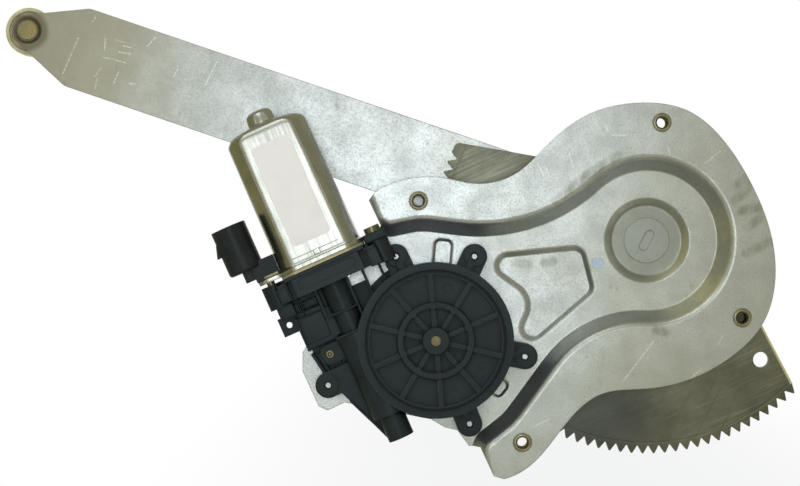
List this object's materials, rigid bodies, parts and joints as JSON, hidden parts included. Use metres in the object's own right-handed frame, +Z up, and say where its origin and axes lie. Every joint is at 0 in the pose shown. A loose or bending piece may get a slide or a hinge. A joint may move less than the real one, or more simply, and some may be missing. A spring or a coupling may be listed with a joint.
{
  "type": "window regulator",
  "caption": "Electric single-arm window regulator: pressed plate, pivoted toothed sector and lift arm with a roller, driven by a motor with a worm gearbox.",
  "frame": {"origin": "axis of the upper fixing nut at the front face of the plate's flange", "axes": "+X to the right along the plate seen from the motor side, +Z up, -Y towards the door panel, the way the fixing screw leaves"},
  "size_m": [0.3971, 0.0582, 0.2354],
  "materials": {
    "zinc_steel": "bright zinc plated, fine scratches",
    "sector_steel": "bare steel, brushed and oily",
    "passivated_steel": "yellow passivated zinc",
    "can_steel": "bright drawn steel",
    "dark_steel": "plain steel",
    "gear_steel": "machined steel",
    "black_plastic": "black glass-filled nylon, satin",
    "cream_nylon": "natural nylon, greasy",
    "tan_card": "resin-bonded board",
    "white_acetal": "natural acetal",
    "label_paper": "off-white paper label, blank",
    "rubber": "soft black rubber",
    "bronze": "sintered bronze",
    "copper": "copper",
    "tinned_brass": "tinned brass",
    "ferrite": "ferrite",
    "carbon": "carbon",
    "core_iron": "stacked iron laminations"
  },
  "bodies": {
    "plate": {"mounting_plate": "zinc_steel", "fixing_nuts": "passivated_steel", "pivot_stud": "zinc_steel", "pivot_washer": "dark_steel", "pivot_retainer": "dark_steel", "motor_can": "can_steel", "can_screws": "passivated_steel", "can_bush": "bronze", "housing_bush": "bronze", "end_bush": "bronze", "magnets": "ferrite", "brush_holder": "tan_card", "brushes": "carbon", "brush_springs": "dark_steel", "motor_label": "label_paper", "gear_housing": "black_plastic", "gear_cover": "black_plastic", "cover_seal": "rubber", "thrust_plug": "black_plastic", "motor_screws": "zinc_steel", "output_bush": "bronze", "shaft_seal": "rubber", "connector_body": "black_plastic", "connector_terminals": "tinned_brass"},
    "armature": {"armature_shaft": "gear_steel", "armature_core": "core_iron", "armature_windings": "copper", "commutator": "copper"},
    "output": {"worm_wheel": "white_acetal", "damper": "rubber", "driver_plate": "dark_steel", "output_shaft": "gear_steel", "output_circlip": "dark_steel", "drive_pinion": "gear_steel"},
    "arm": {"sector_gear": "sector_steel", "lift_arm": "zinc_steel", "arm_rivets": "zinc_steel", "pivot_bush": "bronze", "roller_stud": "passivated_steel"},
    "roller": {"roller": "cream_nylon"}
  },
  "joints": [
    {"name": "armature_spin", "type": "hinge", "parent": "plate", "child": "armature", "pos_m": [-0.14345, -0.004, -0.12077], "axis": [-0.4059, 0, 0.9139], "range_deg": [-24090, 29440]},
    {"name": "output_spin", "type": "hinge", "parent": "plate", "child": "output", "pos_m": [-0.11183, 0, -0.10673], "axis": [0, 1, 0], "range_deg": [-508, 416]},
    {"name": "sector_swing", "type": "hinge", "parent": "plate", "child": "arm", "pos_m": [-0.0061, 0.0185, -0.0581], "axis": [0, 1, 0], "range_deg": [-45, 55]},
    {"name": "roller_spin", "type": "hinge", "parent": "arm", "child": "roller", "pos_m": [-0.3166, 0.0285, 0.0476], "axis": [0, 1, 0], "continuous": true}
  ],
  "couplings": [
    {"joint": "output_spin", "follows": "armature_spin", "ratio": -0.017241},
    {"joint": "sector_swing", "follows": "armature_spin", "ratio": 0.0018678}
  ]
}
